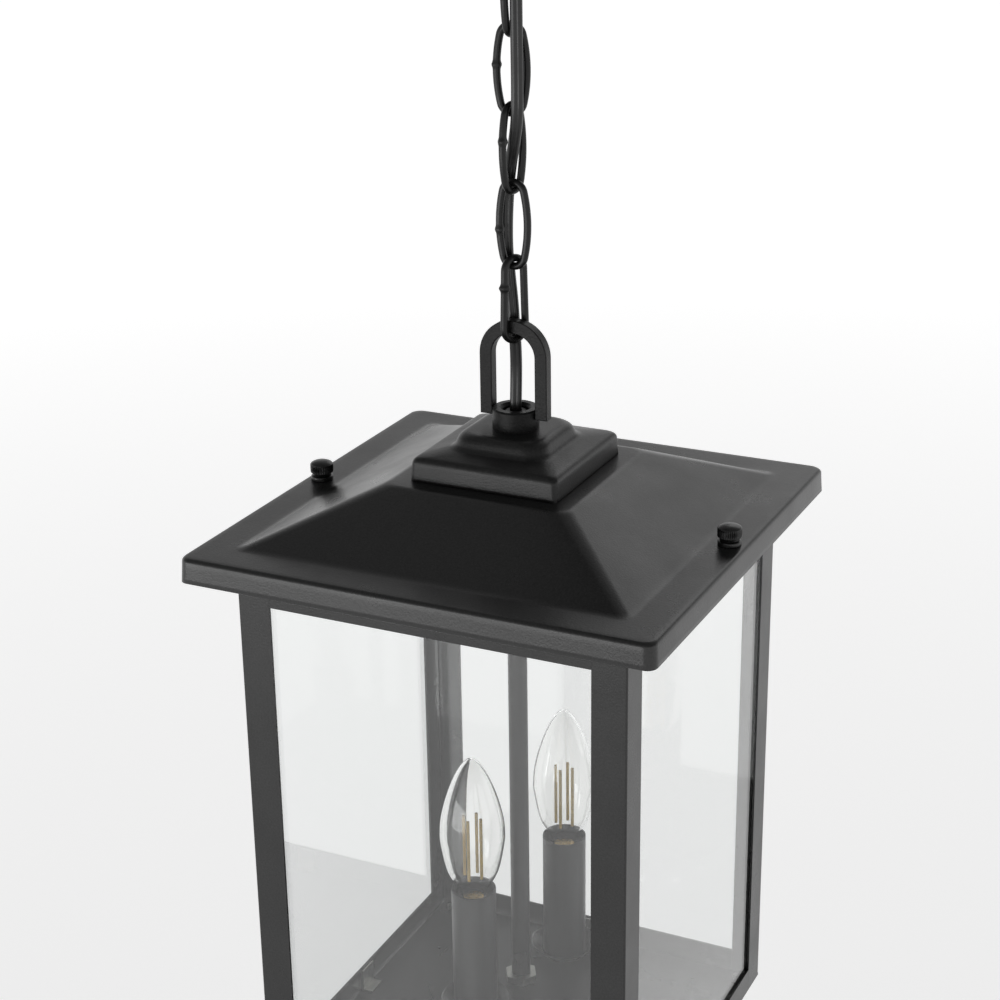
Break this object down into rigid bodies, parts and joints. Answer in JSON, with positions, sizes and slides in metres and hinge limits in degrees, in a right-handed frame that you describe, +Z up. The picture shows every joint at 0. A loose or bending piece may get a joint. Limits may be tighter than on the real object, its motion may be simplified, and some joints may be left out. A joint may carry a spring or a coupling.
{
  "type": "hanging lantern",
  "caption": "Square black sheet-metal hanging lantern with a hipped roof, clear glass sides and candle lamps, on a short chain from a ceiling canopy.",
  "frame": {"origin": "centre of the ceiling face that the mounting crossbar is screwed to", "axes": "+Z up, the lantern hangs along -Z; -Y is the face to the viewer and +X its right-hand side; the two roof knobs lie on the X axis line"},
  "size_m": [0.25, 0.25, 0.6536],
  "materials": {
    "zinc_steel": "bright zinc plate",
    "ground_green": "green passivated screw",
    "brass": "plain brass",
    "satin_black": "satin fine-texture black powder coat",
    "black_chain": "satin black",
    "black_cord": "smooth black insulation with a groove between its two cores",
    "lead_insulation": "wire insulation",
    "connector_plastic": "ribbed plastic",
    "bushing_plastic": "moulded plastic",
    "black_sleeve": "satin black",
    "socket_phenolic": "dark phenolic",
    "clear_glass": "clear, polished",
    "bulb_glass": "clear blown glass",
    "filament": "phosphor-coated filament",
    "knob_black": "satin black, knurled"
  },
  "bodies": {
    "ceiling_mount": {"crossbar": "zinc_steel", "ground_screw": "ground_green", "canopy_nipple": "brass", "nipple_nuts": "zinc_steel", "canopy": "satin_black", "canopy_loop": "satin_black", "ceiling_leads": "lead_insulation", "wire_connectors": "connector_plastic", "supply_cord": "black_cord"},
    "link_5": {"chain_link_5": "black_chain"},
    "link_4": {"chain_link_4": "black_chain"},
    "link_3": {"chain_link_3": "black_chain"},
    "link_2": {"chain_link_2": "black_chain"},
    "link_1": {"chain_link_1": "black_chain"},
    "roof": {"yoke": "satin_black", "collar": "satin_black", "stem_bushing": "bushing_plastic", "roof_cap": "satin_black", "roof": "satin_black", "stem": "satin_black", "stem_cord": "black_cord", "roof_washer": "zinc_steel", "stem_nuts": "zinc_steel", "cluster_plate": "satin_black", "cluster_pan": "satin_black", "finial": "satin_black", "socket_nuts": "zinc_steel", "socket_leads": "lead_insulation", "socket_posts": "brass", "socket_contacts": "brass", "drip_cup_front": "satin_black", "lamp_socket_front": "socket_phenolic", "candle_sleeve_front": "black_sleeve", "bulb_base_front": "brass", "bulb_glass_front": "bulb_glass", "bulb_filaments_front": "filament", "drip_cup_rear": "satin_black", "lamp_socket_rear": "socket_phenolic", "candle_sleeve_rear": "black_sleeve", "bulb_base_rear": "brass", "bulb_glass_rear": "bulb_glass", "bulb_filaments_rear": "filament"},
    "cage": {"top_frame": "satin_black", "bottom_frame": "satin_black", "post_front_left": "satin_black", "post_front_right": "satin_black", "post_rear_right": "satin_black", "post_rear_left": "satin_black", "glass_front": "clear_glass", "glass_rear": "clear_glass", "glass_left": "clear_glass", "glass_right": "clear_glass", "glass_clips": "zinc_steel", "base_plate": "satin_black", "base_screws": "zinc_steel", "cage_studs": "zinc_steel"},
    "washer_left": {"knob_washer_left": "knob_black"},
    "washer_right": {"knob_washer_right": "knob_black"},
    "knob_left": {"knob_left": "knob_black"},
    "knob_right": {"knob_right": "knob_black"}
  },
  "joints": [
    {"name": "link_5_swing", "type": "hinge", "parent": "ceiling_mount", "child": "link_5", "pos_m": [0, 0, -0.0595], "axis": [1, 0, 0], "range_deg": [-20, 20], "deforming": ["supply_cord"]},
    {"name": "link_4_swing", "type": "hinge", "parent": "link_5", "child": "link_4", "pos_m": [0, 0, -0.0964], "axis": [0, 1, 0], "range_deg": [-20, 20], "deforming": ["supply_cord"]},
    {"name": "link_3_swing", "type": "hinge", "parent": "link_4", "child": "link_3", "pos_m": [0, 0, -0.1339], "axis": [-0.9903, -0.1392, 0], "range_deg": [-20, 20], "deforming": ["supply_cord"]},
    {"name": "link_2_swing", "type": "hinge", "parent": "link_3", "child": "link_2", "pos_m": [0, 0, -0.1714], "axis": [-0.2588, -0.9659, 0], "range_deg": [-20, 20], "deforming": ["supply_cord"]},
    {"name": "link_1_swing", "type": "hinge", "parent": "link_2", "child": "link_1", "pos_m": [0, 0, -0.2089], "axis": [1, 0, 0], "range_deg": [-20, 20], "deforming": ["supply_cord"]},
    {"name": "lantern_swing", "type": "hinge", "parent": "link_1", "child": "roof", "pos_m": [0, 0, -0.2396], "axis": [0.9063, -0.4226, 0], "range_deg": [-15, 15], "deforming": ["supply_cord"]},
    {"name": "knob_left_rise", "type": "slide", "parent": "roof", "child": "washer_left", "axis": [0, 0, 1], "range_m": [0, 0.006]},
    {"name": "knob_left_turn", "type": "hinge", "parent": "washer_left", "child": "knob_left", "pos_m": [-0.115, 0, -0.332], "axis": [0, 0, 1], "range_deg": [0, 3090]},
    {"name": "knob_right_rise", "type": "slide", "parent": "roof", "child": "washer_right", "axis": [0, 0, 1], "range_m": [0, 0.006]},
    {"name": "knob_right_turn", "type": "hinge", "parent": "washer_right", "child": "knob_right", "pos_m": [0.115, 0, -0.332], "axis": [0, 0, 1], "range_deg": [0, 3090]},
    {"name": "cage_drop", "type": "slide", "parent": "roof", "child": "cage", "axis": [0, 0, -1], "range_m": [0, 0.32]}
  ],
  "couplings": [
    {"joint": "knob_left_turn", "follows": "knob_left_rise", "rad_per_m": 8976},
    {"joint": "knob_right_turn", "follows": "knob_right_rise", "rad_per_m": 8976}
  ]
}
